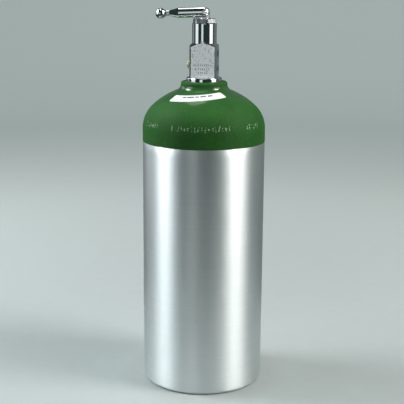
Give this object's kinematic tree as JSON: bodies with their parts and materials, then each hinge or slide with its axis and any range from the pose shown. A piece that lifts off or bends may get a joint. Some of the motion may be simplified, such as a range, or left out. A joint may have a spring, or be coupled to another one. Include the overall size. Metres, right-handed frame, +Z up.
{
  "type": "portable oxygen cylinder",
  "caption": "Small upright aluminium medical oxygen cylinder with a green shoulder, a pin-index post valve and a ball-ended folding toggle lever.",
  "frame": {"origin": "centre of the cylinder's foot, on the plane that it stands on", "axes": "+Z up the cylinder's axis; +X out of the gas outlet; the marked flat of the valve faces -Y; the closed lever points along -X"},
  "size_m": [0.1112, 0.1112, 0.3456],
  "materials": {
    "aluminium": "bare aluminium, finely turned and brushed round the cylinder",
    "green_enamel": "glossy green enamel",
    "chrome": "polished chrome plate, satin on the marked flats",
    "brass": "bare turned brass",
    "bronze": "sintered bronze, porous",
    "copper": "thin rolled copper",
    "stainless": "turned stainless steel",
    "rubber": "moulded black rubber",
    "nylon": "machined natural nylon",
    "ptfe": "white low-friction plastic",
    "white_label": "white self-adhesive vinyl with a plain grey rule"
  },
  "bodies": {
    "tank": {"cylinder_shell": "aluminium", "shoulder_label": "white_label", "neck_o_ring": "rubber", "valve_body": "chrome", "inlet_filter": "bronze", "filter_retaining_ring": "stainless", "relief_plug": "brass", "rupture_disc": "copper", "relief_gasket": "ptfe", "bonnet_nut": "chrome", "bonnet_gasket": "ptfe", "thrust_washer": "ptfe"},
    "spindle": {"spindle": "stainless", "spindle_o_ring_lower": "rubber", "spindle_o_ring_upper": "rubber", "backup_ring": "ptfe"},
    "carrier": {"seat_carrier": "brass", "seat_insert": "nylon"},
    "toggle": {"toggle_lever": "chrome", "toggle_pin": "stainless"}
  },
  "joints": [
    {"name": "spindle_turn", "type": "hinge", "parent": "tank", "child": "spindle", "pos_m": [0, 0, 0.33], "axis": [0, 0, 1], "range_deg": [0, 450]},
    {"name": "carrier_lift", "type": "slide", "parent": "spindle", "child": "carrier", "axis": [0, 0, 1], "range_m": [0, 0.0019]},
    {"name": "toggle_fold", "type": "hinge", "parent": "spindle", "child": "toggle", "pos_m": [0, 0, 0.341], "axis": [0, 1, 0], "range_deg": [0, 184.8]}
  ],
  "couplings": [
    {"joint": "carrier_lift", "follows": "spindle_turn", "m_per_rad": 0.00023873}
  ]
}
